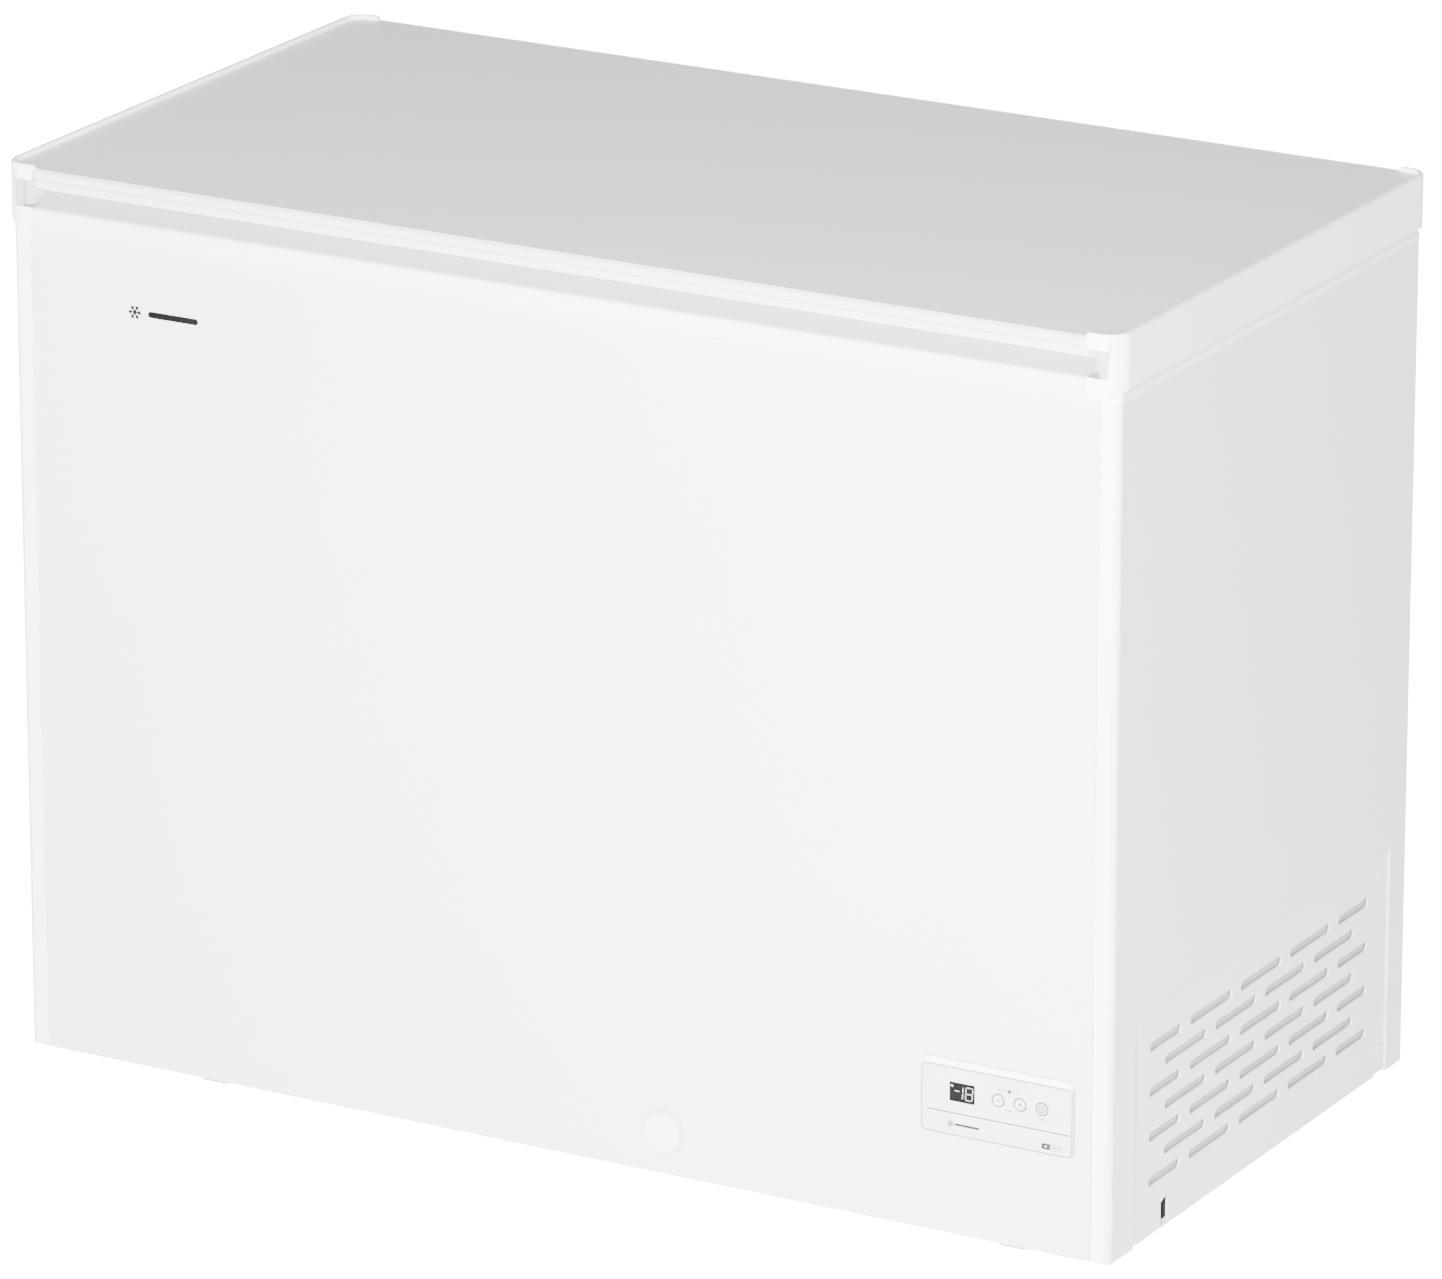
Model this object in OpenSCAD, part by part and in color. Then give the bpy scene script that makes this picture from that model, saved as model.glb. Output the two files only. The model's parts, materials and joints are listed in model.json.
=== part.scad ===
// Chest freezer with a full-width lid handle, a digital control panel and a side vent grille.
// Millimetres. +X right, +Y to the back, +Z up. Origin: floor, centre of the bounding box.

/* [Cabinet] */
// Outer width of the steel cabinet
body_w = 1064; // [1020:1:1150]
// Outer depth of the steel cabinet
body_d = 557; // [540:1:600]
// Height of the front panel
body_h = 745; // [700:1:780]
// Insulated wall thickness
wall = 66; // [58:1:74]
// Height of the castors under the cabinet
foot_h = 41.5; // [38:0.5:44]
// Radius of the four upright outer edges
edge_r = 6; // [6:0.5:9]
// Width of the side sheets' return on the front
flange = 18; // [14:1:24]
// Thickness of the steel skins
sheet = 0.8; // [0.6:0.1:1]

/* [Lid] */
// How far the lid stands out past each cabinet side
lid_over = 4; // [3:0.5:6]
// Height of the lid's side frames, rim included
lid_h = 42.9; // [40:0.1:46]
// Height of the raised end rim above the lid panel
rim_h = 3.8; // [2:0.2:5]
// Width of the raised end rim
rim_w = 5; // [4:0.5:7]
// Plan radius of the lid's corners
lid_r = 20; // [16:1:26]

/* [Interior] */
// Width of the storage basket
basket_w = 250; // [200:5:300]
// Depth below the collar of the storage basket
basket_h = 200; // [150:5:220]
// Height of the floor over the machine compartment
step_z = 279; // [270:1:300]

/* [Fittings] */
// Width of the control panel
panel_w = 142.4; // [136:0.4:150]
// Height of the control panel
panel_h = 66.3; // [62:0.3:70]
// Radius of the three keys
key_r = 6.2; // [5:0.1:7]
// Radius of the drain cap
cap_r = 18.7; // [16:0.1:22]
// Radius of the castor wheels
wheel_r = 18; // [16:0.5:18]

/* [Hidden] */
cab_y = -3.75;
hw = body_w / 2;
hd = body_d / 2;
lid_z = 760.6;
lid_top = lid_z + lid_h;
pan_top = lid_top - rim_h;
skirt_z = 756.5;
foot_z = 747.4;
foot_rise = 18;
lid_hw = hw + lid_over;
lid_hd = 287;
collar_z = 757.5;
in_w = body_w - 2 * wall;
in_d = body_d - 2 * wall;
step_x = 267;
mach_x = 329;
mach_z = 216;
col_out = 0.3;
open_w = in_w - 8;
open_d = in_d - 8;
ledge = 8;
ledge_z = 749;
gr_y0 = -235;
gr_y1 = 243.5;
gr_z1 = 204;
inset = 4.1;
slot_h = 9;
screw_yz = [[-224, 188], [226, 186], [231, 25], [-230, 26]];
odd_z = [168, 128, 88, 48];
even_z = [148, 108, 68];
panel_x = 426.8;
panel_z = 121.9;
key_x = [428.5, 449, 469.5];
key_z = 128;
drain_x = 108;
drain_z = 38.5;
hinge_x = 360;
leaf_xz = [[-18, 770], [18, 770], [-18, 786], [18, 786]];
piv_y = 290;
piv_z = 752;
pin_r = 3;
cast_x = 397;
cast_y = 186;
axle_z = wheel_r - foot_h;
comp = [430, 60];
slack = 0.05;

white = [0.93, 0.94, 0.94];
plastic = [0.95, 0.96, 0.96];
steel = [0.62, 0.64, 0.66];
dark = [0.08, 0.08, 0.09];
foam = [0.93, 0.86, 0.62];
copper = [0.72, 0.43, 0.28];

module place() { translate([0, cab_y, foot_h]) children(); }
module flip(s) { if (s < 0) mirror([1, 0, 0]) children(); else children(); }

// A rectangle w by d about the origin with round corners of radius r.
module rsq(w, d, r) {
    square([w - 2 * r, d], center = true);
    square([w, d - 2 * r], center = true);
    for (x = [-1, 1], y = [-1, 1]) translate([x * (w / 2 - r), y * (d / 2 - r)]) circle(r, $fn = 48);
}

module slab(w, d, r, z0, z1) { translate([0, 0, z0]) linear_extrude(z1 - z0) rsq(w, d, r); }

// A vertical plate in the X-Z plane from y0 to y1, drawn as [x, z].
module upright(y0, y1) { translate([0, y1, 0]) rotate([90, 0, 0]) linear_extrude(y1 - y0) children(); }

// Sweeps a profile round a rectangle w by d with corner radius r. Profile x is r at the outside.
module rim_sweep(w, d, r) {
    a = w / 2 - r;
    b = d / 2 - r;
    for (s = [0, 1]) rotate([0, 0, 180 * s]) {
        translate([a, b, 0]) rotate([90, 0, 0]) linear_extrude(2 * b) children();
        translate([-a, b, 0]) rotate([90, 0, 90]) linear_extrude(2 * a) children();
        translate([a, b, 0]) rotate_extrude(angle = 90, $fn = 48) children();
        translate([-a, b, 0]) rotate([0, 0, 90]) rotate_extrude(angle = 90, $fn = 48) children();
    }
}

// ---- cabinet skins ----
module side_sheet() {
    linear_extrude(body_h) difference() {
        rsq(body_w, body_d, edge_r);
        rsq(body_w - 2 * sheet, body_d - 2 * sheet, edge_r - sheet);
        translate([-body_w, -body_d]) square([body_w + hw - flange + 0.3, 2 * body_d]);
    }
}

module side_panel_left() color(white) place() mirror([1, 0, 0]) side_sheet();

// The box that the vent grille is let into, its sides and back t further out.
module recess_box(t, z0, out) {
    translate([hw - inset - t, gr_y0 - 0.3 - t, z0])
        cube([inset + t + out, gr_y1 - gr_y0 + 0.6 + 2 * t, gr_z1 + 0.3 + t - z0]);
}

module side_panel_right() color(white) place() difference() {
    union() {
        side_sheet();
        recess_box(sheet, 0, 0);
    }
    recess_box(0, -1, 5);
    translate([hw - 9, gr_y0 + 23, 5]) cube([8, gr_y1 - gr_y0 - 52, gr_z1 - 17]);
    for (p = screw_yz) translate([hw - 9, p[0], p[1]]) rotate([0, 90, 0]) cylinder(r = 2.1, h = 8, $fn = 24);
}

module front_panel() color(white) place() upright(-hd, -hd + sheet) difference() {
    translate([0, body_h / 2]) rsq(2 * (hw - flange) - 0.6, body_h, 4);
    translate([panel_x, panel_z]) rsq(panel_w + 1, panel_h + 1, 6.5);
    translate([drain_x, drain_z]) circle(12, $fn = 48);
}

module rear_panel() color(white) place() upright(hd - sheet, hd) difference() {
    translate([0, body_h / 2]) rsq(2 * (hw - flange) - 0.6, body_h, 4);
    for (i = [0:8], x = [352, 430]) translate([x, 24 + 20 * i]) square([66, 7]);
}

// The room inside the skins between x0 and x1 and between z0 and z1.
module inside(x0, x1, z0, z1) {
    intersection() {
        slab(body_w - 2, body_d - 2, edge_r - 1, z0, z1);
        translate([x0, -hd, z0]) cube([x1 - x0, body_d, z1 - z0]);
    }
}

module base_pan() color(steel) place() inside(-hw, mach_x, 0, 1);

module compressor_tray() color(steel) place() {
    inside(mach_x + 1.3, hw - inset - 2, 0, 2);
    inside(mach_x + 1.3, mach_x + 2.8, 2, 14);
}

module machine_housing() color(steel) place() {
    inside(mach_x, mach_x + 1, 1, mach_z + 1);
    inside(mach_x, hw, mach_z, mach_z + 1);
}

// The tub's space, grown by t: a deep part and a shallow part over the machine compartment.
module tub(t, top) {
    intersection() {
        slab(in_w + 2 * t, in_d + 2 * t, 25 + t, wall - t, top);
        translate([-hw, -hd, 0]) cube([hw + step_x + t, body_d, body_h + 20]);
    }
    slab(in_w + 2 * t, in_d + 2 * t, 25 + t, step_z - t, top);
}

module drain_path(r_in) {
    translate([drain_x, -hd + sheet, drain_z]) rotate([-90, 0, 0]) cylinder(r = r_in, h = 96, $fn = 48);
    translate([drain_x, -190, drain_z]) cylinder(r = r_in, h = wall - drain_z, $fn = 48);
}

module foam_insulation() color(foam) place() difference() {
    slab(body_w - 2 * sheet, body_d - 2 * sheet, edge_r - sheet, 1, body_h - 1);
    tub(1, body_h + 5);
    slab(in_w + 28, in_d + 28, 39, body_h - 2, body_h + 5);
    translate([mach_x, -hd, -1]) cube([hw, body_d, mach_z + 2]);
    drain_path(11.6);
}

module inner_liner() color(white) place() difference() {
    union() {
        tub(1, body_h);
        slab(in_w + 26, in_d + 26, 38, body_h - 1, body_h);
    }
    tub(0, body_h + 5);
    translate([drain_x, -190, wall - 3]) cylinder(r = 7, h = 5, $fn = 48);
}

module top_collar() color(plastic) place() difference() {
    union() {
        translate([0, 0, body_h]) linear_extrude(collar_z - body_h)
            square([body_w + 2 * col_out - 12, body_d + 2 * col_out - 12], center = true);
        rim_sweep(body_w + 2 * col_out, body_d + 2 * col_out, 6)
            polygon([[0, body_h], [6, body_h], [6, 750], [5.5, 750.9], [1, collar_z - 0.4],
                [0.2, collar_z], [0, collar_z]]);
        slab(in_w - 0.4, in_d - 0.4, 24.8, body_h - 12, body_h);
    }
    slab(open_w, open_d, 21, body_h - 20, collar_z + 5);
    slab(open_w + 2 * ledge, open_d + 2 * ledge, 29, ledge_z, collar_z + 5);
}

// ---- vent grille and its fittings ----
module slot_row(z, xs, half) {
    for (c = xs) translate([c, z]) rsq(77, slot_h, slot_h / 2 - 0.1);
    for (h = half) translate([h, z]) rsq(57.5, slot_h, slot_h / 2 - 0.1);
}

module vent_grille() color(plastic) place() translate([hw - inset + 0.1, 0, 0]) rotate([90, 0, 90])
    linear_extrude(2.2) difference() {
        union() {
            translate([(gr_y0 + gr_y1) / 2, (gr_z1 + 1) / 2]) rsq(gr_y1 - gr_y0, gr_z1 - 1, 3);
            translate([(gr_y0 + gr_y1) / 2, gr_z1 / 2]) square([gr_y1 - gr_y0 - 20, gr_z1], center = true);
        }
        for (z = odd_z) slot_row(z, [-92.8, 0.5, 93.5], [-176.6, 177]);
        for (z = even_z) slot_row(z, [-139, -46, 47, 140.5], []);
        polygon([[-182, 2.5], [-169, 2.5], [-169, 28], [-182, 23]]);
        translate([gr_y1 - 18, -1]) square([20, 4]);
        for (p = screw_yz) translate(p) circle(2.2, $fn = 24);
    }

module dust_filter() color([0.7, 0.7, 0.7]) place() translate([hw - inset - 2.4, 0, 0]) rotate([90, 0, 90])
    linear_extrude(1.2) difference() {
        translate([gr_y0 + 14, 31]) square([gr_y1 - gr_y0 - 28, gr_z1 - 46]);
        for (p = screw_yz) translate(p) circle(4, $fn = 24);
    }

module grille_screws() color(steel) place()
    for (p = screw_yz)
        translate([hw - inset + 0.1, p[0], p[1]]) rotate([0, 90, 0]) {
            translate([0, 0, -8]) cylinder(r = 1.9, h = 10.3, $fn = 24);
            difference() {
                translate([0, 0, 2.3]) cylinder(r = 4.2, h = 1.2, $fn = 32);
                translate([0, 0, 3.3]) cube([5, 1, 0.8], center = true);
                translate([0, 0, 3.3]) cube([1, 5, 0.8], center = true);
            }
        }

module cord_gland() color(dark) place() translate([hw - inset - 6, 0, 0]) rotate([90, 0, 90])
    linear_extrude(5) difference() {
        translate([-175.5, 17]) rsq(19, 27.8, 2);
        translate([-175.5, 17]) rsq(13.2, 21.6, 1);
    }

// ---- control panel ----
module control_bezel() color(plastic) place() difference() {
    union() {
        intersection() {
            upright(-hd - 2.6, -hd + 1) translate([panel_x, panel_z]) rsq(panel_w, panel_h, 6);
            translate([panel_x - 80, 0, panel_z]) rotate([90, 0, 90]) linear_extrude(160)
                polygon([[-hd + 1, -panel_h / 2], [-hd + 1, panel_h / 2], [-hd - 0.3, panel_h / 2],
                    [-hd - 2.6, panel_h / 2 - 5], [-hd - 2.6, -panel_h / 2]]);
        }
        upright(-hd + sheet + 0.1, -hd + 1.9) translate([panel_x, panel_z]) rsq(panel_w + 8, panel_h + 8, 8);
    }
    upright(-hd - 5, -hd - 1.6) translate([394.3, 127.9]) rsq(23.9, 17.1, 1);
    for (x = key_x) upright(-hd - 5, -hd + 5) translate([x, key_z]) circle(key_r + 0.1, $fn = 48);
}

module display_window() color(dark) place()
    upright(-hd - 2.65, -hd - 1.6) translate([394.3, 127.9]) rsq(23.5, 16.7, 0.8);

module control_board() color([0.1, 0.35, 0.2]) place() {
    upright(-hd + 5.3, -hd + 6.9) translate([panel_x, panel_z]) rsq(114, 50, 2);
    for (x = [-53, 53], z = [-21, 21]) upright(-hd + 1.9, -hd + 5.3)
        translate([panel_x + x, panel_z + z]) circle(2.5, $fn = 24);
    for (x = key_x) upright(-hd + 4.6, -hd + 5.3) translate([x, key_z]) square(5, center = true);
}

module key(i) place() translate([key_x[i], 0, key_z]) {
    upright(-hd - 3, -hd + 2) circle(key_r, $fn = 48);
    upright(-hd + 2, -hd + 2.8) circle(key_r + 1.2, $fn = 48);
    upright(-hd + 2.8, -hd + 3.7) circle(1.8, $fn = 24);
}

module button_minus() color(plastic) key(0);
module button_plus() color(plastic) key(1);
module button_power() color(plastic) key(2);

module front_emblem() color([0.3, 0.31, 0.33]) place() {
    upright(-hd - 0.6, -hd) {
        translate([-409, 685.5]) for (a = [0, 60, 120]) rotate(a) square([13.6, 1.9], center = true);
        translate([-409, 685.5]) circle(2, $fn = 32);
        translate([-371, 685.5]) rsq(50, 5.4, 2.6);
    }
}

// ---- drain ----
module drain_tube() color(plastic) place() difference() {
    union() {
        translate([drain_x, -hd + sheet, drain_z]) rotate([-90, 0, 0]) cylinder(r = 11.5, h = 96, $fn = 48);
        translate([drain_x, -190, drain_z]) cylinder(r = 11.5, h = wall - 1 - drain_z, $fn = 48);
    }
    translate([drain_x, -hd - 5, drain_z]) rotate([-90, 0, 0]) cylinder(r = 9.3, h = 99, $fn = 48);
    translate([drain_x, -190, drain_z]) cylinder(r = 7, h = wall, $fn = 48);
}

module drain_plug() color(plastic) place() translate([drain_x, -hd, drain_z]) rotate([90, 0, 0]) {
    rotate_extrude($fn = 64) polygon([[0, 0.3], [cap_r, 0.3], [cap_r, 4.3], [cap_r - 0.7, 6],
        [cap_r - 2.2, 7.2], [12, 8.3], [6, 8.8], [0, 8.9]]);
    translate([0, 0, -34]) cylinder(r = 9.22, h = 34.5, $fn = 48);
}

// ---- hinges ----
module barrel(x0, x1) {
    translate([x0, piv_y, piv_z]) rotate([0, 90, 0]) cylinder(r = 5, h = x1 - x0, $fn = 48);
}

module hinge_bore() {
    translate([-50, piv_y, piv_z]) rotate([0, 90, 0]) cylinder(r = pin_r + slack, h = 100, $fn = 48);
}

module bracket(s) place() translate([s * hinge_x, 0, 0]) difference() {
    union() {
        upright(hd, hd + 2) translate([0, 702.4]) rsq(64, 85, 4);
        for (x = [-28, 14]) {
            barrel(x, x + 14);
            translate([x, hd + 0.6, 744]) cube([14, piv_y - hd - 0.6, 4.6]);
        }
    }
    hinge_bore();
    for (x = [-22, 22], z = [674, 726]) upright(hd - 1, hd + 5) translate([x, z]) circle(2.3, $fn = 24);
}

module hinge_bracket_left() color(steel) bracket(-1);
module hinge_bracket_right() color(steel) bracket(1);

module leaf(s) place() translate([s * hinge_x, 0, 0]) difference() {
    union() {
        upright(lid_hd, lid_hd + 2) translate([0, 778]) rsq(52, 33, 3);
        barrel(-13.7, 13.7);
        translate([-13.7, lid_hd, piv_z + 2]) cube([27.4, 2, 10]);
    }
    hinge_bore();
    for (p = leaf_xz) upright(lid_hd - 1, lid_hd + 5) translate(p) circle(2.3, $fn = 24);
}

module hinge_leaf_left() color(steel) leaf(-1);
module hinge_leaf_right() color(steel) leaf(1);

module pin(s) place() translate([s * hinge_x, piv_y, piv_z]) rotate([0, 90, 0]) {
    translate([0, 0, -28.2]) cylinder(r = pin_r, h = 56.4, $fn = 48);
    for (z = [-30.2, 28.2]) translate([0, 0, z]) cylinder(r = 4.4, h = 2, $fn = 48);
}

module hinge_pin_left() color(steel) pin(-1);
module hinge_pin_right() color(steel) pin(1);

module hinge_leaf_screws() color(steel) place() for (s = [-1, 1], p = leaf_xz)
    translate([s * hinge_x + p[0], 0, p[1]]) {
        upright(lid_hd + 2, lid_hd + 4) circle(4.2, $fn = 32);
        upright(lid_hd - 2.6, lid_hd + 2) circle(2.1, $fn = 24);
    }

module screws(s) place() translate([s * hinge_x, 0, 0]) for (x = [-22, 22], z = [674, 726])
    translate([x, 0, z]) {
        upright(hd + 2, hd + 4) circle(4.2, $fn = 32);
        upright(hd + 0.05, hd + 2) circle(2.1, $fn = 24);
    }

module hinge_screws_left() color(steel) screws(-1);
module hinge_screws_right() color(steel) screws(1);

// ---- machine compartment ----
module compressor() color(dark) place() translate([comp[0], comp[1], 0]) rotate_extrude($fn = 96) polygon([
    [0, 22], [50, 22], [66, 30], [70, 40], [70, 99], [73, 99], [73, 103], [70, 103], [70, 150],
    [65, 170], [48, 184], [20, 189], [0, 190], [0, 180], [18, 179], [43, 174], [56, 163], [60, 148],
    [60, 42], [57, 36], [46, 32], [0, 32]]);

module compressor_mount() color(steel) place() translate([comp[0], comp[1], 0]) {
    difference() {
        slab(170, 150, 10, 18, 21.8);
        for (x = [-73, 73], y = [-63, 63]) translate([x, y, 10]) cylinder(r = 5, h = 20, $fn = 32);
    }
    for (x = [-73, 73], y = [-63, 63]) translate([x, y, 2]) cylinder(r = 11, h = 16, $fn = 32);
}

module relay_box() color(dark) place() translate([comp[0] - 27, comp[1] - 106, 60]) cube([54, 32, 56]);

module filter_drier() color(copper) place() translate([358, 178, 0]) rotate_extrude($fn = 48)
    polygon([[0, 58], [4, 58], [9, 66], [9, 142], [4, 150], [0, 150]]);

module run(a, b, r) {
    d = b - a;
    translate(a) sphere(r, $fn = 32);
    translate(b) sphere(r, $fn = 32);
    translate(a) rotate(d[2] != 0 ? [d[2] > 0 ? 0 : 180, 0, 0] : d[1] != 0 ? [d[1] > 0 ? -90 : 90, 0, 0]
        : [0, d[0] > 0 ? 90 : -90, 0]) cylinder(r = r, h = norm(d), $fn = 32);
}

module path(p, r) { for (i = [0:len(p) - 2]) run(p[i], p[i + 1], r); }

module refrigerant_tubes() color(copper) place() {
    path([[430, 133.5, 70], [430, 158, 70], [430, 158, 200], [380, 158, 200], [380, 158, 212.5]], 3);
    path([[358, 178, 153.5], [358, 178, 212.5]], 3);
    path([[358, 178, 54.5], [358, 178, 40], [358, 214, 40], [358, 214, 212.5]], 3);
}

// ---- castors ----
module castor_frame(x, y) place() translate([x * cast_x, y * cast_y, 0]) difference() {
    union() {
        slab(46, 56, 5, -2.5, 0);
        for (s = [-15, 13]) translate([s, 0, 0]) rotate([90, 0, 90]) linear_extrude(2) {
            polygon([[-13, -2], [13, -2], [6, axle_z], [-6, axle_z]]);
            translate([0, axle_z]) circle(6, $fn = 32);
        }
    }
    translate([-30, 0, axle_z]) rotate([0, 90, 0]) cylinder(r = pin_r + slack, h = 60, $fn = 32);
}

module castor_axle(x, y) place() translate([x * cast_x, y * cast_y, axle_z]) rotate([0, 90, 0]) {
    translate([0, 0, -15.2]) cylinder(r = pin_r, h = 30.4, $fn = 32);
    for (z = [-16.8, 15.2]) translate([0, 0, z]) cylinder(r = 4.8, h = 1.6, $fn = 32);
}

module castor_wheel(x, y) place() translate([x * cast_x, y * cast_y, axle_z]) rotate([0, 90, 0])
    rotate_extrude($fn = 64) polygon([[pin_r + slack, -12.5], [8, -12.5], [9, -10], [14, -10], [15, -12],
        [wheel_r - 1, -12], [wheel_r, -11], [wheel_r, 11], [wheel_r - 1, 12], [15, 12], [14, 10],
        [9, 10], [8, 12.5], [pin_r + slack, 12.5]]);

module castor_frame_fl() color(steel) castor_frame(-1, -1);
module castor_frame_fr() color(steel) castor_frame(1, -1);
module castor_frame_bl() color(steel) castor_frame(-1, 1);
module castor_frame_br() color(steel) castor_frame(1, 1);
module castor_axle_fl() color(steel) castor_axle(-1, -1);
module castor_axle_fr() color(steel) castor_axle(1, -1);
module castor_axle_bl() color(steel) castor_axle(-1, 1);
module castor_axle_br() color(steel) castor_axle(1, 1);
module castor_wheel_fl() color(plastic) castor_wheel(-1, -1);
module castor_wheel_fr() color(plastic) castor_wheel(1, -1);
module castor_wheel_bl() color(plastic) castor_wheel(-1, 1);
module castor_wheel_br() color(plastic) castor_wheel(1, 1);

// ---- lid ----
module lid_top_panel() color(white) place() translate([0, 0, pan_top - sheet]) linear_extrude(sheet) {
    rsq(2 * (lid_hw - rim_w) - 1.2, 2 * (lid_hd - rim_w) - 1.2, lid_r - rim_w);
    translate([-(lid_hw - 31.5), -283]) square([2 * (lid_hw - 31.5), 283 + lid_hd - 3.2]);
}

// Sections through the handle's two extrusions, drawn as [y, z]. Upper: top lip and set-back band.
lip_pts = [[-262, 781.4], [-262, pan_top - 1], [-283.1, pan_top - 1],
    for (a = [64:-13:-53]) [-281.1 - 4.5 * cos(a), 794.9 + 4.5 * sin(a)],
    [-280.8, 790.9], [-280.8, 789.6], [-282.6, 789.3], [-283, 788.8], [-283, 782.6], [-281.6, 781.8],
    [-267.8, 781.4]];

// Lower: back wall and sloping floor of the finger recess, then the lower lip over the collar.
rail_pts = [[-262, 762.8], [-262, 781.3], [-267.8, 781.3], [-267.4, 778], [-268.2, 776.6],
    [-283.4, 765.9], [-286, 765.6], [-287.2, 764.4], [-287.5, 762.6], [-287.5, 757.9],
    [-286.5, 757.2], [-287, 756.5], [-286.6, 749.1], [-285.4, foot_z], [-282.2, foot_z], [-281, 749],
    [-280.4, 757.6], [-280.4, 760.8], [-278.9, 762.8]];

module front_run(pts) place() translate([-(lid_hw - 31), 0, 0]) rotate([90, 0, 90])
    linear_extrude(2 * (lid_hw - 31)) polygon(pts);

module lid_handle_lip() color(plastic) front_run(lip_pts);
module lid_handle_rail() color(plastic) front_run(rail_pts);

// Plan of an end frame's wall, t thick: down the side and round both corners to a tab end.
module end_plan(t, front, back) {
    difference() {
        rsq(2 * lid_hw, 2 * lid_hd, lid_r);
        rsq(2 * lid_hw - 2 * t, 2 * lid_hd - 2 * t, lid_r - t);
        translate([-lid_hw - 5, -lid_hd - 5]) square([2 * lid_hw + 5 - front, lid_hd + 5]);
        translate([-lid_hw - 5, -1]) square([2 * lid_hw + 5 - back, lid_hd + 5]);
    }
}

module end_frame(s) place() flip(s) {
    translate([0, 0, skirt_z]) linear_extrude(pan_top - skirt_z - 1) difference() {
        end_plan(3, 20, 27);
        translate([lid_hw - 21, -lid_hd - 5]) square([25, 6.6]);
    }
    translate([0, 0, pan_top - 1]) linear_extrude(rim_h - 0.2) end_plan(rim_w, 31, 27);
    translate([0, 0, lid_top - 1.2]) linear_extrude(1.2) difference() {
        rsq(2 * lid_hw - 2, 2 * lid_hd - 2, lid_r - 1);
        rsq(2 * lid_hw - 2 * rim_w + 1, 2 * lid_hd - 2 * rim_w + 1, lid_r - rim_w + 0.5);
        translate([-lid_hw - 5, -lid_hd - 5]) square([2 * lid_hw + 5 - 31, lid_hd + 5]);
        translate([-lid_hw - 5, -1]) square([2 * lid_hw + 5 - 27, lid_hd + 5]);
    }
    // front corner: upper tab, end of the set-back band, flared end of the finger recess, lower lip
    translate([0, 0, 790]) linear_extrude(pan_top - 1 - 790) corner_plan(lid_hw, false);
    translate([lid_hw - 30.8, -283, 781.6]) cube([9.5, 15, 9]);
    translate([0, 0, 765.6]) linear_extrude(790 - 765.6) corner_plan(lid_hw, true);
    translate([0, 0, lid_z + 2.2]) linear_extrude(3.4) corner_plan(lid_hw, false);
    difference() {
        translate([0, 0, foot_z]) linear_extrude(765.6 - foot_z) lip_plan();
        translate([lid_hw - lid_r - 1.5, -lid_hd - 0.4, foot_z]) rotate([0, 0, 45])
            rotate([0, -foot_rise, 0]) translate([0, -60, -30]) cube([80, 120, 30]);
    }
}

module corner_base(x1, depth) {
    intersection() {
        rsq(2 * lid_hw, 2 * lid_hd, lid_r);
        translate([lid_hw - 30.8, -lid_hd - 1]) square([x1 - lid_hw + 30.8, depth]);
    }
}

// Plan of the corner block behind the finger recess, with its flared opening if flare is true.
module corner_plan(x1, flare) {
    difference() {
        corner_base(x1, 26);
        if (flare) polygon([[lid_hw - 40, -lid_hd - 5], [lid_hw - 10.5, -lid_hd - 5],
            [lid_hw - 10.5, -lid_hd + 0.6], [lid_hw - 29, -269], [lid_hw - 40, -269]]);
    }
}

// Plan of the lower lip round the corner, clear of the collar.
module lip_plan() {
    difference() {
        corner_base(lid_hw, 27);
        rsq(2 * (lid_hw - 3), 2 * (hd + 1.8), 7);
    }
}

module lid_end_frame_left() color(plastic) end_frame(-1);
module lid_end_frame_right() color(plastic) end_frame(1);

module lid_rear_rail() color(plastic) place() difference() {
    translate([-(lid_hw - 27.3), lid_hd - 3, lid_z]) cube([2 * (lid_hw - 27.3), 3, pan_top - lid_z]);
    for (s = [-1, 1], p = leaf_xz) upright(lid_hd - 4, lid_hd + 1)
        translate([s * hinge_x + p[0], p[1]]) circle(2.3, $fn = 24);
}

module lid_inner_panel() color(plastic) place() {
    difference() {
        slab(2 * lid_hw - 6.4, 2 * lid_hd - 6.4, lid_r - 3.2, lid_z, lid_z + 2);
        translate([-lid_hw, -lid_hd - 5, lid_z - 1]) cube([2 * lid_hw, lid_hd - hd + 5, 5]);
        slab(in_w - 48, in_d - 48, 20, lid_z - 1, lid_z + 3);
    }
    difference() {
        slab(in_w - 44, in_d - 44, 22, piv_z, lid_z + 2);
        slab(in_w - 48, in_d - 48, 20, piv_z + 2, lid_z + 3);
    }
}

module lid_foam() color(foam) place() {
    difference() {
        slab(2 * lid_hw - 11, 2 * lid_hd - 11, lid_r - 5.5, lid_z + 2.1, pan_top - sheet - 0.1);
        translate([-lid_hw, -lid_hd - 5, lid_z]) cube([2 * lid_hw, lid_hd - 261.8 + 5, 60]);
    }
    slab(in_w - 48.4, in_d - 48.4, 19.8, piv_z + 2.1, lid_z + 2.2);
}

module lid_gasket() color([0.85, 0.86, 0.87]) place() difference() {
    slab(body_w - 22, body_d - 22, 10, collar_z + 0.1, lid_z);
    slab(body_w - 66, body_d - 66, 8, collar_z - 1, lid_z + 1);
}

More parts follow.
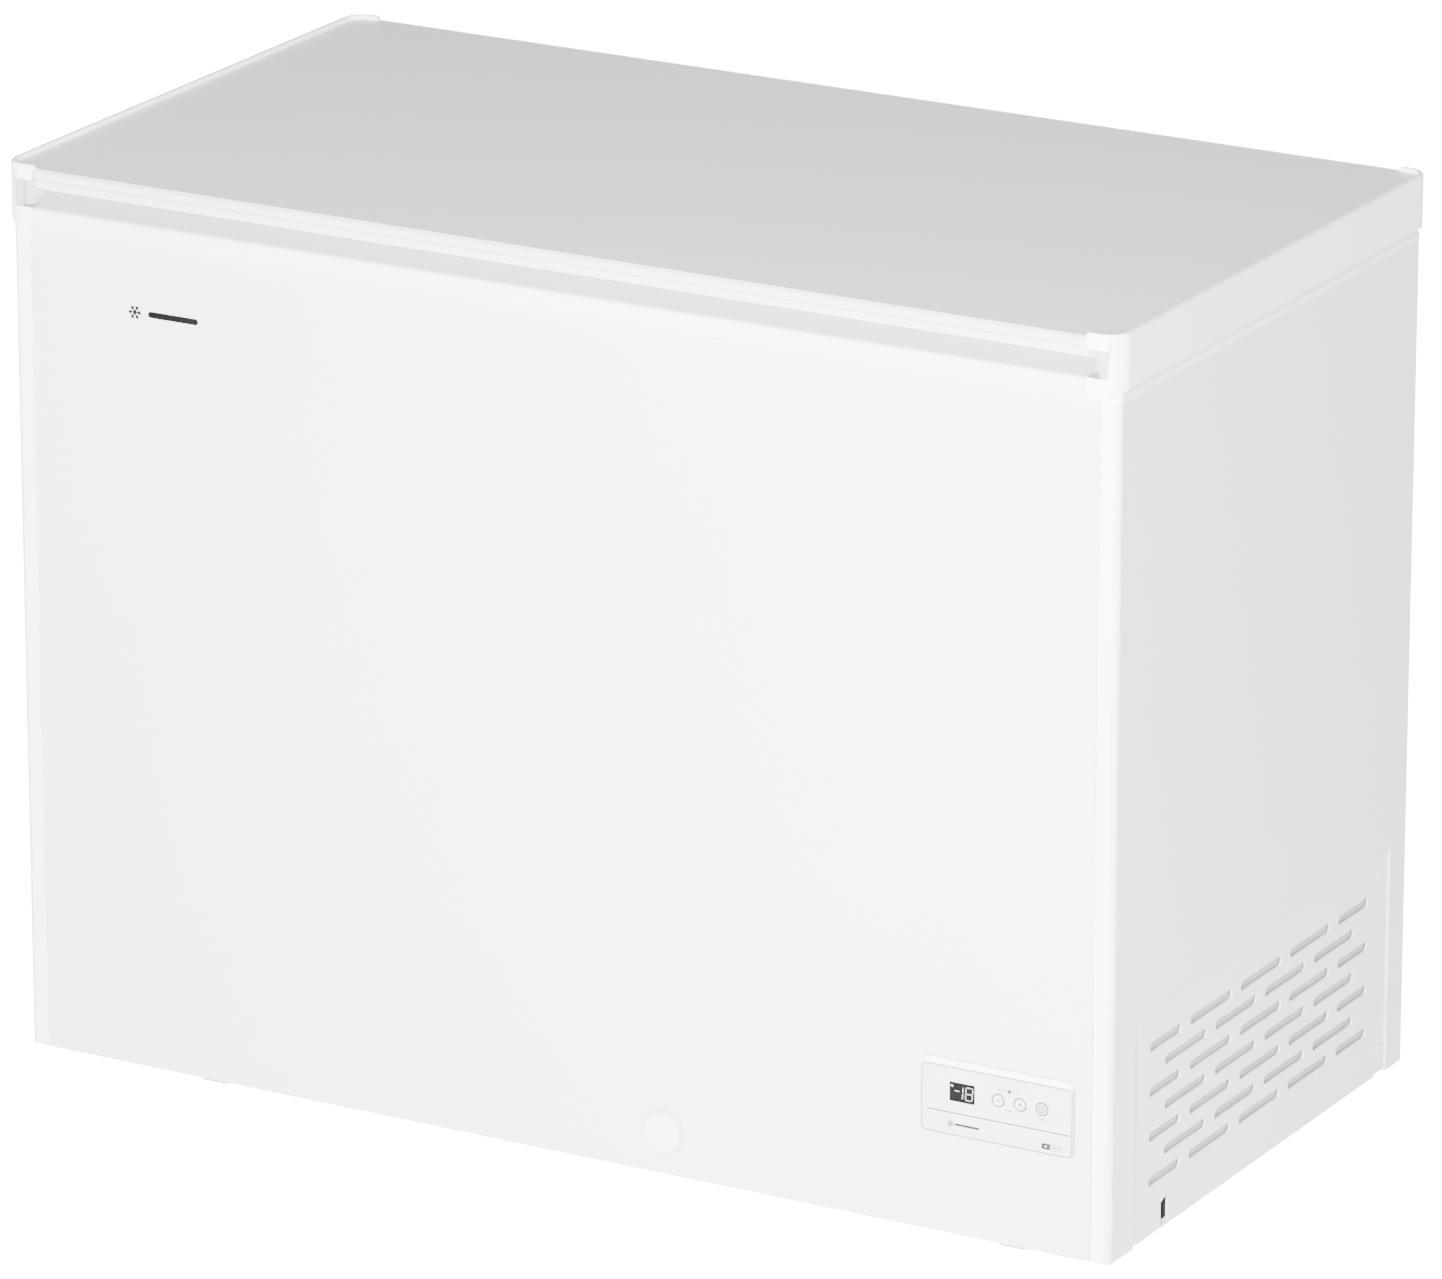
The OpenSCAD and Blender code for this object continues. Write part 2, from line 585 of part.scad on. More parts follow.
// ---- storage basket: an open box hung on the collar's front and back ledges ----
module storage_basket() color(plastic) place()
    translate([-in_w / 2 + 8 + basket_w / 2, 0, ledge_z - basket_h]) {
        bk_d = in_d - 30;
        difference() {
            slab(basket_w, bk_d, 16, 0, basket_h - 6);
            slab(basket_w - 6, bk_d - 6, 13, 3, basket_h);
        }
        for (s = [-1, 1], x = [-90, 90]) {
            translate([x - 2.5, s * (bk_d / 2 - 1.5) - 1.5, basket_h - 10]) cube([5, 3, 14]);
            translate([x - 2.5, s > 0 ? bk_d / 2 - 3 : -open_d / 2 - 6, basket_h + 0.1])
                cube([5, (open_d - bk_d) / 2 + 9, 3.9]);
        }
    }

side_panel_left();
side_panel_right();
front_panel();
rear_panel();
base_pan();
compressor_tray();
machine_housing();
foam_insulation();
inner_liner();
top_collar();
vent_grille();
dust_filter();
grille_screws();
cord_gland();
control_bezel();
display_window();
control_board();
button_minus();
button_plus();
button_power();
drain_tube();
drain_plug();
front_emblem();
hinge_bracket_left();
hinge_bracket_right();
hinge_leaf_left();
hinge_leaf_right();
hinge_pin_left();
hinge_pin_right();
hinge_screws_left();
hinge_screws_right();
hinge_leaf_screws();
compressor();
compressor_mount();
relay_box();
filter_drier();
refrigerant_tubes();
castor_frame_fl();
castor_frame_fr();
castor_frame_bl();
castor_frame_br();
castor_axle_fl();
castor_axle_fr();
castor_axle_bl();
castor_axle_br();
castor_wheel_fl();
castor_wheel_fr();
castor_wheel_bl();
castor_wheel_br();
lid_top_panel();
lid_handle_lip();
lid_handle_rail();
lid_end_frame_left();
lid_end_frame_right();
lid_rear_rail();
lid_foam();
lid_inner_panel();
lid_gasket();
storage_basket();
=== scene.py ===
import json
import math

import bmesh
import bpy
from mathutils import Matrix, Vector

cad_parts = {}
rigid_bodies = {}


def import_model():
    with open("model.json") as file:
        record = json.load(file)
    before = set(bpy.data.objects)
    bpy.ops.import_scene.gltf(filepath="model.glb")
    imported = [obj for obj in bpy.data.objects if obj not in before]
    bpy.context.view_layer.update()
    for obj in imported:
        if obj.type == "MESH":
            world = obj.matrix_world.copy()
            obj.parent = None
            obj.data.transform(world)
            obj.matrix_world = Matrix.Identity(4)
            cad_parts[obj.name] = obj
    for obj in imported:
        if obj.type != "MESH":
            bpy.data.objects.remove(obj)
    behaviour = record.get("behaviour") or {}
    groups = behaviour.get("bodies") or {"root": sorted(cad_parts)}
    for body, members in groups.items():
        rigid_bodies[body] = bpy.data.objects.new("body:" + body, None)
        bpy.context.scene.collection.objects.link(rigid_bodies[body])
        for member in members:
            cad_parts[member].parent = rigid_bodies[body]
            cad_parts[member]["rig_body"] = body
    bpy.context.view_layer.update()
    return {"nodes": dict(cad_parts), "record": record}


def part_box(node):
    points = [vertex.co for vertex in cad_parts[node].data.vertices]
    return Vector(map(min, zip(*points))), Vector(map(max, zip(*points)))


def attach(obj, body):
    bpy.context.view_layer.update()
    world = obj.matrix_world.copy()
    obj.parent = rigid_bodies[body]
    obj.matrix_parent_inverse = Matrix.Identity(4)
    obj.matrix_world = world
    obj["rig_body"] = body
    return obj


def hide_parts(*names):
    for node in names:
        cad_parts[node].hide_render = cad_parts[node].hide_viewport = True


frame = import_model()

# ---- cabinet coordinates: millimetres about the cabinet's centre, z = 0 at the skins' lower edge ----
MM = 0.001
side_lo, side_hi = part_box("side_panel_right")
CAB_Y = (side_lo.y + side_hi.y) / 2
FOOT = side_lo.z
HW = side_hi.x / MM
HD = (side_hi.y - side_lo.y) / 2 / MM
TO_M = Matrix.Translation((0, CAB_Y, FOOT)) @ Matrix.Scale(MM, 4)
FROM_M = TO_M.inverted()


def local(node):
    """A CAD node's box in cabinet coordinates."""
    lo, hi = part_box(node)
    return FROM_M @ lo, FROM_M @ hi


# ---------------------------------------------------------------- materials
def new_mat(name):
    """An empty node material: its name, its node tree and its Principled shader."""
    m = bpy.data.materials.new(name)
    m.use_nodes = True
    nt = m.node_tree
    nt.nodes.clear()
    out = nt.nodes.new("ShaderNodeOutputMaterial")
    bsdf = nt.nodes.new("ShaderNodeBsdfPrincipled")
    nt.links.new(bsdf.outputs["BSDF"], out.inputs["Surface"])
    return m, nt, bsdf


def noise(nt, coord, scale, detail=2.0, rough=0.5):
    """Noise of so many cells to the metre."""
    n = nt.nodes.new("ShaderNodeTexNoise")
    n.inputs["Scale"].default_value = scale
    n.inputs["Detail"].default_value = detail
    n.inputs["Roughness"].default_value = rough
    nt.links.new(coord, n.inputs["Vector"])
    return n.outputs["Fac"]


def ramp(nt, fac, stops):
    """A colour from a factor, through stops of (position, colour)."""
    r = nt.nodes.new("ShaderNodeValToRGB")
    while len(r.color_ramp.elements) < len(stops):
        r.color_ramp.elements.new(0.5)
    for e, (p, c) in zip(r.color_ramp.elements, stops):
        e.position = p
        e.color = (*c, 1)
    nt.links.new(fac, r.inputs["Fac"])
    return r.outputs["Color"]


def to_range(nt, fac, a, b):
    """Spreads the middle half of a noise factor over a to b."""
    r = nt.nodes.new("ShaderNodeMapRange")
    r.inputs["From Min"].default_value = 0.25
    r.inputs["From Max"].default_value = 0.75
    r.inputs["To Min"].default_value = a
    r.inputs["To Max"].default_value = b
    nt.links.new(fac, r.inputs["Value"])
    return r.outputs["Result"]


def bump(nt, height, distance, normal=None):
    """A normal bumped by a height of so many metres, on top of another normal if one is given."""
    b = nt.nodes.new("ShaderNodeBump")
    b.inputs["Distance"].default_value = distance
    b.inputs["Strength"].default_value = 1.0
    nt.links.new(height, b.inputs["Height"])
    if normal is not None:
        nt.links.new(normal, b.inputs["Normal"])
    return b.outputs["Normal"]


WAVES_PER_M = 4.5


def surface(name, color, rough, metal=0.0, grain=900, grain_mm=0.02, wave_mm=0.0, tint=0.025,
            tint_scale=6, rough_var=0.05, coat=0.0, spec=0.5):
    """A finish with a fine grain, slow colour drift and uneven gloss, all from noise.

    grain is the grain's cells to the metre and grain_mm its depth; wave_mm is the depth of the sheet's slow
    waves; tint is how far the colour drifts, in patches of tint_scale to the metre.
    """
    m, nt, b = new_mat(name)
    tc = nt.nodes.new("ShaderNodeTexCoord").outputs["Object"]
    lo = tuple(max(0.0, c * (1 - tint)) for c in color)
    hi = tuple(min(1.0, c * (1 + tint)) for c in color)
    nt.links.new(ramp(nt, noise(nt, tc, tint_scale, 3), [(0.3, lo), (0.7, hi)]), b.inputs["Base Color"])
    gloss = to_range(nt, noise(nt, tc, grain * 0.35, 3, 0.6), rough - rough_var, rough + rough_var)
    nt.links.new(gloss, b.inputs["Roughness"])
    normal = bump(nt, noise(nt, tc, grain, 3, 0.55), grain_mm * MM)
    if wave_mm:
        normal = bump(nt, noise(nt, tc, WAVES_PER_M, 1), wave_mm * MM, normal)
    nt.links.new(normal, b.inputs["Normal"])
    b.inputs["Metallic"].default_value = metal
    b.inputs["Specular IOR Level"].default_value = spec
    b.inputs["Coat Weight"].default_value = coat
    b.inputs["Coat Roughness"].default_value = 0.12
    return m


def grey(v, cool=0.006):
    """A near-neutral grey, a touch cooler than pure."""
    return (v, v * (1 + cool), v * (1 + 2 * cool))


def add_stucco(m, cell, depth):
    """Embossed dimples over a finish, cell metres apart and depth metres deep."""
    nt = m.node_tree
    b = next(n for n in nt.nodes if n.type == "BSDF_PRINCIPLED")
    fine = b.inputs["Normal"].links[0].from_socket
    v = nt.nodes.new("ShaderNodeTexVoronoi")
    v.feature = "SMOOTH_F1"
    v.inputs["Scale"].default_value = 1 / cell
    v.inputs["Smoothness"].default_value = 0.6
    nt.links.new(nt.nodes.new("ShaderNodeTexCoord").outputs["Object"], v.inputs["Vector"])
    nt.links.new(bump(nt, v.outputs["Distance"], depth, fine), b.inputs["Normal"])
    return m


def glowing(m, color, strength):
    """Lights a finish from within, as a lit display segment is."""
    b = next(n for n in m.node_tree.nodes if n.type == "BSDF_PRINCIPLED")
    b.inputs["Emission Color"].default_value = (*color, 1)
    b.inputs["Emission Strength"].default_value = strength
    return m


M = {
    "paint_front": surface("paint_front", grey(0.68), 0.36, grain=520, grain_mm=0.02, wave_mm=0.25,
                           tint=0.012),
    "paint_side": surface("paint_side", grey(0.76), 0.45, grain=560, grain_mm=0.05, wave_mm=0.2,
                          tint=0.012),
    "paint_side_lit_fold": surface("paint_side_lit_fold", grey(0.90), 0.45, grain=560, grain_mm=0.04, wave_mm=0.2,
                          tint=0.012),
    "paint_lid": surface("paint_lid", grey(0.74), 0.48, grain=600, grain_mm=0.02, wave_mm=0.15, tint=0.010),
    "plastic": surface("plastic_white", grey(0.80), 0.32, grain=1500, grain_mm=0.006, tint=0.01),
    "plastic_end": surface("plastic_end_frame", grey(0.955, 0.002), 0.42, grain=900, grain_mm=0.06,
                           tint=0.012),
    "lip": surface("plastic_lip", grey(0.66), 0.34, grain=1500, grain_mm=0.006, tint=0.01),
    # a dark grey for the finger recess and the walls at its ends: painted shade from the lip above
    "recess": surface("plastic_recess_painted_shade", grey(0.41), 0.5, grain=1000, grain_mm=0.05, tint=0.02),
    "bezel": surface("plastic_bezel", grey(0.61), 0.40, grain=1400, grain_mm=0.012, tint=0.01),
    "plastic_tex": surface("plastic_grained", grey(0.80), 0.50, grain=1100, grain_mm=0.05, tint=0.015),
    "key": surface("key_plastic", grey(0.62), 0.42, grain=1800, grain_mm=0.008, tint=0.012),
    "zinc_dark": surface("zinc_steel_dark", grey(0.30), 0.45, metal=0.8, grain=220, grain_mm=0.006,
                         tint=0.12,
                         tint_scale=60, rough_var=0.1),
    "zinc": surface("zinc_steel", grey(0.46), 0.38, metal=1.0, grain=220, grain_mm=0.006, tint=0.12,
                    tint_scale=60, rough_var=0.12),
    "foam": surface("foam", (0.78, 0.66, 0.38), 0.85, grain=420, grain_mm=0.25, tint=0.12, tint_scale=80),
    "foam_skin": surface("foam_skin", grey(0.62), 0.7, grain=420, grain_mm=0.05, tint=0.05, tint_scale=80),
    "liner": add_stucco(surface("liner_sheet", grey(0.78), 0.30, grain=700, grain_mm=0.01, tint=0.02),
                        0.0045, 0.0002),
    "black": surface("black_plastic", grey(0.018), 0.5, grain=900, grain_mm=0.03, tint=0.2),
    "glass": surface("display_glass", grey(0.0015), 0.22, grain=300, grain_mm=0.001, tint=0.2,
                     rough_var=0.03, spec=0.12),
    "digit": glowing(surface("display_digit", grey(0.22), 0.5, grain=900, grain_mm=0.002, tint=0.02),
                     (0.93, 0.97, 1.0), 0.7),
    "board": surface("circuit_board", (0.02, 0.13, 0.06), 0.35, grain=700, grain_mm=0.03, tint=0.3,
                     tint_scale=300),
    "ink": surface("print_dark", grey(0.004), 0.6, grain=1200, grain_mm=0.004, tint=0.1, spec=0.08),
    "ink_line": surface("print_grey", grey(0.022), 0.5, grain=1200, grain_mm=0.004, tint=0.08, spec=0.25),
    "ink_light": surface("print_light_grey", grey(0.045), 0.5, grain=1200, grain_mm=0.004, tint=0.06,
                         spec=0.3),
    "shell": surface("black_steel", grey(0.015), 0.32, grain=500, grain_mm=0.03, tint=0.25, coat=0.3),
    "copper": surface("copper", (0.80, 0.42, 0.26), 0.28, metal=1.0, grain=200, grain_mm=0.01, tint=0.2,
                      tint_scale=50, rough_var=0.12),
    "wheel": surface("castor_plastic", grey(0.50), 0.5, grain=800, grain_mm=0.03, tint=0.05, tint_scale=40),
    "rubber": surface("gasket_rubber", grey(0.66), 0.7, grain=900, grain_mm=0.03, tint=0.05, spec=0.3),
    "wire": surface("wire_coating", grey(0.82), 0.32, grain=900, grain_mm=0.015, tint=0.02),
    "filter": surface("filter_sheet", grey(0.48), 0.85, grain=700, grain_mm=0.25, tint=0.08,
                      tint_scale=500),
}


# ---------------------------------------------------------------- mesh helpers
def evaluated(o):
    """A new mesh of an object as it shows, modifiers and all."""
    bpy.context.view_layer.update()
    return bpy.data.meshes.new_from_object(o.evaluated_get(bpy.context.evaluated_depsgraph_get()))


def add_curve(bm, cu):
    """Adds the mesh of a curve, in the curve's own space, to a bmesh."""
    o = bpy.data.objects.new(cu.name + "_curve", cu)
    bpy.context.scene.collection.objects.link(o)
    me = evaluated(o)
    bm.from_mesh(me)
    bpy.data.objects.remove(o)
    bpy.data.meshes.remove(me)


def spline(cu, points, closed=True):
    """Adds straight runs through points of (x, y, z) to a curve."""
    sp = cu.splines.new("POLY")
    sp.points.add(len(points) - 1)
    for q, p in zip(sp.points, points):
        q.co = (*p, 1)
    sp.use_cyclic_u = closed


def add_piece(name, me, mat, body, slot, replaces=(), bevel=0.0, segments=2, angle=32, weighted=True):
    """Puts a mesh in the scene as a piece of the freezer, with edges of more than angle degrees rounded."""
    o = bpy.data.objects.new(name, me)
    bpy.context.scene.collection.objects.link(o)
    me.materials.clear()
    me.materials.append(M[mat])
    me.shade_smooth()
    if bevel:
        b = o.modifiers.new("edge", "BEVEL")
        b.width = bevel * MM
        b.segments = segments
        b.limit_method = "ANGLE"
        b.angle_limit = math.radians(angle)
        b.use_clamp_overlap = True
    me.set_sharp_from_angle(angle=math.radians(50 if bevel else angle))
    if weighted:
        w = o.modifiers.new("normals", "WEIGHTED_NORMAL")
        w.keep_sharp = True
        w.weight = 90
    me = evaluated(o)
    o.modifiers.clear()
    o.data = me
    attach(o, body)
    if replaces:
        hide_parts(*replaces)
    return o


def from_bm(name, bm, mat, body, slot, metres=False, **kw):
    """A piece from a bmesh in cabinet coordinates, or in metres if metres is true."""
    if not metres:
        bmesh.ops.transform(bm, matrix=TO_M, verts=bm.verts)
    bmesh.ops.recalc_face_normals(bm, faces=bm.faces)
    me = bpy.data.meshes.new(name)
    bm.to_mesh(me)
    bm.free()
    return add_piece(name, me, mat, body, slot, **kw)


def refine(node, mat, bevel=0.4, segments=2):
    """A detailed stand-in for a CAD node: its flats dissolved to clean faces, its edges rounded."""
    src = frame["nodes"][node]
    bm = bmesh.new()
    bm.from_mesh(src.data)
    bmesh.ops.remove_doubles(bm, verts=bm.verts, dist=2e-6)
    bmesh.ops.dissolve_limit(bm, angle_limit=math.radians(0.6), verts=bm.verts, edges=bm.edges)
    slot_of = next(s["material_slot"] for s in frame["record"]["subparts"] if s["node"] == node)
    return from_bm(node + "_shape", bm, mat, src["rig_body"], slot_of, metres=True,
                   replaces=(node,), bevel=bevel, segments=segments)


def rr(w, d, r, n=10, cx=0.0, cy=0.0):
    """Points of a rectangle w by d with round corners of radius r, anticlockwise."""
    pts = []
    for k, (sx, sy) in enumerate([(1, 1), (-1, 1), (-1, -1), (1, -1)]):
        for i in range(n + 1):
            a = math.pi / 2 * (k + i / n)
            pts.append((cx + sx * (w / 2 - r) + r * math.cos(a), cy + sy * (d / 2 - r) + r * math.sin(a)))
    return pts


def circle(cx, cy, r, n=40):
    turns = [2 * math.pi * i / n for i in range(n)]
    return [(cx + r * math.cos(t), cy + r * math.sin(t)) for t in turns]


# Turns a drawing in x and y into one in x and z that faces the front.
FRONT = Matrix(((1, 0, 0, 0), (0, 0, -1, 0), (0, 1, 0, 0), (0, 0, 0, 1)))


def plate(name, loops, depth, at, mat, body, slot, edge=0.0, **kw):
    """A flat plate facing the front, its middle plane at millimetres before the cabinet's centre.

    loops are closed outlines, holes among them, and edge is the radius of its rounded edges.
    """
    cu = bpy.data.curves.new(name, "CURVE")
    cu.dimensions = "2D"
    cu.fill_mode = "BOTH"
    for pts in loops:
        spline(cu, [(x, y, 0) for x, y in pts])
    cu.extrude = max(depth / 2 - edge, 0.001)
    cu.bevel_depth = edge
    cu.bevel_resolution = 1
    cu.offset = -edge
    bm = bmesh.new()
    add_curve(bm, cu)
    bmesh.ops.remove_doubles(bm, verts=bm.verts, dist=1e-4)
    bmesh.ops.transform(bm, matrix=FRONT @ Matrix.Translation((0, 0, at)), verts=bm.verts)
    return from_bm(name, bm, mat, body, slot, weighted=False, **kw)


def rings(name, loops, mat, body, slot, **kw):
    """A closed skin through loops of equal point counts, each a list of (x, y, z)."""
    bm = bmesh.new()
    rows = [[bm.verts.new(p) for p in loop] for loop in loops]
    for a, b in zip(rows, rows[1:] + rows[:1]):
        for i in range(len(a)):
            j = (i + 1) % len(a)
            bm.faces.new((a[i], a[j], b[j], b[i]))
    return from_bm(name, bm, mat, body, slot, **kw)


def rr3(w, d, r, z):
    """A rounded rectangle's points at height z."""
    return [(x, y, z) for x, y in rr(w, d, r, 8)]


def paint_faces(o, mat, inside):
    """Gives another finish to the faces whose centre, in cabinet coordinates, passes the test."""
    o.data.materials.append(M[mat])
    for f in o.data.polygons:
        if inside(FROM_M @ f.center):
            f.material_index = len(o.data.materials) - 1


def bend(points, r, closed=False):
    """A path with its corners rounded to about radius r, in steps of a sixth of a corner."""
    n = 6
    pts = [Vector(p) for p in points]
    out = []
    for i, p in enumerate(pts):
        if not closed and i in (0, len(pts) - 1):
            out.append(p)
            continue
        a = (pts[i - 1] - p).normalized()
        b = (pts[(i + 1) % len(pts)] - p).normalized()
        cut = r / math.tan(a.angle(b) / 2)
        for k in range(n + 1):
            t = k / n
            out.append((1 - t) ** 2 * (p + a * cut) + 2 * t * (1 - t) * p + t * t * (p + b * cut))
    return out


def wires(name, runs, mat, body, slot, **kw):
    """Round wires in one piece. runs holds (path, radius, closed)."""
    bm = bmesh.new()
    for path, r, closed in runs:
        cu = bpy.data.curves.new(name, "CURVE")
        cu.dimensions = "3D"
        cu.bevel_depth = r
        cu.bevel_resolution = 3
        cu.use_fill_caps = not closed
        spline(cu, path, closed)
        add_curve(bm, cu)
    return from_bm(name, bm, mat, body, slot, weighted=False, angle=60, **kw)


def bar(cx, cz, w, h):
    """A rectangle's outline with slightly rounded corners."""
    return rr(w, h, min(w, h) * 0.2, 3, cx, cz)


def flake(cx, cz, r, w):
    """Outline of a six-armed flake of radius r and line width w, with a pair of twigs on each arm."""
    base = 0.55 * r
    twig = 0.20 * r
    sin60 = math.sin(math.radians(60))
    wide = w / sin60
    rise = w / 2 + twig * sin60
    side = [(0.866 * w, w / 2), (base, w / 2), (base + twig / 2, rise), (base + twig / 2 + wide, rise),
            (base + wide, w / 2), (r, w / 2)]
    arm = [(u, -v) for u, v in side] + [(u, v) for u, v in reversed(side[1:])]
    out = []
    for k in range(6):
        c, s = math.cos(math.radians(60 * k)), math.sin(math.radians(60 * k))
        out += [(cx + u * c - v * s, cz + u * s + v * c) for u, v in arm]
    return out


# ---------------------------------------------------------------- carried-over shapes
SHADE_BEHIND = 0.6    # the bezel's rear flange lies further than this behind the cabinet's front
FOLD = 5        # the front fold's faces lie further than this in from a side
FOAM_TOP = 740  # above this the foam's faces are skin


def on_front_flange(p):
    """The side skins' flanges, folded round the cabinet's front, which take a lighter grey than the sides as
    painted light.
    """
    return p.y < 0.5 - HD and abs(p.x) < HW - FOLD


def on_foam_skin(p):
    """The foam's outer faces and the top that the collar covers."""
    return abs(p.y) > HD - 1.5 or abs(p.x) > HW - 1.5 or p.z > FOAM_TOP


for n in ("side_panel_left", "side_panel_right"):
    skin = refine(n, "paint_side", 0.25)
    # the front-facing folds get a lighter copy of the side paint: painted light
    paint_faces(skin, "paint_side_lit_fold", on_front_flange)
refine("front_panel", "paint_front", 0.3)
refine("rear_panel", "paint_side", 0.2)
for n in ("base_pan", "compressor_tray", "machine_housing", "compressor_mount"):
    refine(n, "zinc", 0.3)
tub_foam = refine("foam_insulation", "foam", 0)
paint_faces(tub_foam, "foam_skin", on_foam_skin)
refine("lid_foam", "foam", 0)
refine("inner_liner", "liner", 0)
refine("top_collar", "plastic_end", 0.6, 3)
refine("vent_grille", "plastic_tex", 0.4, 2)
refine("dust_filter", "filter", 0)
refine("grille_screws", "plastic_tex", 0.25)
refine("cord_gland", "black", 0.4)
bezel = refine("control_bezel", "bezel", 0.5, 3)
bez_lo, bez_hi = local("control_bezel")
HIGHLIGHT_DROP = 8.8
# The bezel's rear flange is painted black: painted shade in the gap round the bezel.
paint_faces(bezel, "black", lambda p: p.y > SHADE_BEHIND - HD)
# The bezel's top chamfer takes the lighter end-frame grey: a painted highlight where light falls on the
# slope.
paint_faces(bezel, "plastic_end", lambda p: p.y < -0.2 - HD and p.z > bez_hi.z - HIGHLIGHT_DROP)
refine("display_window", "glass", 0.2)
refine("control_board", "board", 0.2)
for n in ("button_minus", "button_plus", "button_power"):
    refine(n, "key", 0.3, 3)
refine("drain_tube", "plastic", 0.4)
refine("drain_plug", "plastic", 0.6, 3)
for s in ("left", "right"):
    refine("hinge_bracket_" + s, "zinc", 0.5)
    refine("hinge_leaf_" + s, "zinc", 0.5)
    refine("hinge_pin_" + s, "zinc", 0.6, 3)
    refine("hinge_screws_" + s, "zinc", 0.5, 3)
refine("hinge_leaf_screws", "zinc", 0.5, 3)
refine("compressor", "shell", 1.2, 3)
refine("relay_box", "black", 2.5, 3)
refine("filter_drier", "copper", 1.0, 3)
refine("refrigerant_tubes", "copper", 0)
for c in ("fl", "fr", "bl", "br"):
    refine("castor_frame_" + c, "zinc_dark", 0.4)
    refine("castor_axle_" + c, "zinc_dark", 0.5, 3)
    refine("castor_wheel_" + c, "wheel", 0.8, 3)
refine("lid_top_panel", "paint_lid", 0.3)
refine("lid_handle_lip", "lip", 0.6, 3)
rail = refine("lid_handle_rail", "plastic", 0.6, 3)
rail_lo, rail_hi = local("lid_handle_rail")
RECESS_RISE = 17.3  # from the rail's lower edge up to the finger recess
RAIL_WALL = 3.5     # from the rail's front back to it
# The finger recess's faces take the dark recess grey: painted shade where the upper lip shades them.
paint_faces(rail, "recess", lambda p: p.z > rail_lo.z + RECESS_RISE and p.y > rail_lo.y + RAIL_WALL)
FLARE_FRONT, FLARE_BACK = -286.2, -262
FLARE_LOW, FLARE_HIGH = rail_lo.z + 18.6, rail_hi.z + 6
FLARE_END = rail_hi.x + 20


def on_flare_shade(p):
    """The walls that close the finger recess at its two ends, painted in the recess's dark grey as painted
    shade.
    """
    return FLARE_LOW < p.z < FLARE_HIGH and FLARE_FRONT < p.y < FLARE_BACK and abs(p.x) < FLARE_END


for s in ("left", "right"):
    end = refine("lid_end_frame_" + s, "plastic_end", 0.7, 3)
    # the flared walls at the recess's ends get the dark recess grey as painted shade
    paint_faces(end, "recess", on_flare_shade)
refine("lid_rear_rail", "plastic", 0.6, 3)
refine("lid_inner_panel", "plastic_tex", 1.0, 3)

# ---------------------------------------------------------------- front mark and control panel print
INK = 0.06


def print_on(name, loops, at, mat, body, slot="emblem_grey", depth=INK):
    """A thin printed or moulded shape, its back on the surface that stands at millimetres in front."""
    plate(name, loops, depth, at + depth / 2, mat, body, slot)


def pill(cx, cz, w, h):
    """Outline of a bar with round ends."""
    return rr(w, h, h / 2 - 0.05, 8, cx, cz)


mark_lo, mark_hi = local("front_emblem")
mark_z = (mark_lo.z + mark_hi.z) / 2
flake_r = (mark_hi.z - mark_lo.z) / 2
MARK_BAR = 50
MARK_DEPTH = 0.6
mark = [flake(mark_lo.x + flake_r, mark_z, flake_r, 1.25),
        pill(mark_hi.x - MARK_BAR / 2, mark_z, MARK_BAR, 5.4)]
plate("front_emblem_shape", mark, MARK_DEPTH, HD + MARK_DEPTH / 2, "ink", "cabinet", "emblem_grey",
      edge=0.1, replaces=("front_emblem",))

FACE = -bez_lo.y


def print_panel(name, loops, mat="ink_line"):
    """A print on the control panel's face."""
    print_on(name, loops, FACE, mat, "cabinet")


bez_x = (bez_lo.x + bez_hi.x) / 2
bez_z = (bez_lo.z + bez_hi.z) / 2
SPLIT_Z = bez_z - 12.9
# A near-black strip across the panel's face along its dividing groove: painted shade in the groove.
print_panel("panel_groove_shade", [bar(bez_x + 1.8, SPLIT_Z, 135, 1.0)])
RIM = 4
BORDER_Z = bez_z - 2.5
face_w = bez_hi.x - bez_lo.x - 2 * RIM
face_h = bez_hi.z - bez_lo.z - 2 * RIM - 5
print_panel("panel_border", [rr(face_w - 1, face_h - 1, 5.2, 8, bez_x, BORDER_Z),
                             rr(face_w - 2.4, face_h - 2.4, 4.5, 8, bez_x, BORDER_Z)])
PANEL_MARK_Z = SPLIT_Z - 9.9
print_panel("panel_mark", [flake(bez_x - 43, PANEL_MARK_Z, 3.4, 0.75),
                           pill(bez_x - 27.5, PANEL_MARK_Z, 23, 2.2)])

BADGE_H = 5.4
badge_z = SPLIT_Z - 13.3
block_x, frame_x = bez_x + 46.3, bez_x + 56.1
print_panel("badge_block", [bar(block_x, badge_z, 8.2, BADGE_H), circle(block_x, badge_z, 1.0, 20)])
print_panel("badge_frame", [bar(frame_x, badge_z, 11, BADGE_H), bar(frame_x, badge_z, 10, BADGE_H - 1),
                            bar(frame_x - 2, badge_z, 3.4, 1.0), bar(frame_x + 2.4, badge_z, 3.4, 1.0)])

keys = {k: local("button_" + k) for k in ("minus", "plus", "power")}
key_mid = {k: ((lo.x + hi.x) / 2, (lo.z + hi.z) / 2) for k, (lo, hi) in keys.items()}
KEY_FACE = -keys["minus"][0].y
KEY_R = 6.2
for k, (kx, kz) in key_mid.items():
    shapes = [circle(kx, kz, KEY_R - 0.25, 56), circle(kx, kz, KEY_R - 1.4, 56)]
    if k == "minus":
        shapes.append(bar(kx, kz, 4.2, 0.9))
    elif k == "plus":
        shapes.append([(kx + u * c - v * s, kz + u * s + v * c)
                       for c, s in ((1, 0), (0, 1), (-1, 0), (0, -1))
                       for u, v in ((0.45, -0.45), (2.1, -0.45), (2.1, 0.45))])
    else:
        shapes += [circle(kx, kz, 3.3), circle(kx, kz, 2.4), circle(kx, kz, 1.0, 20)]
    print_on("key_print_" + k, shapes, KEY_FACE, "ink_light", "key_" + k)

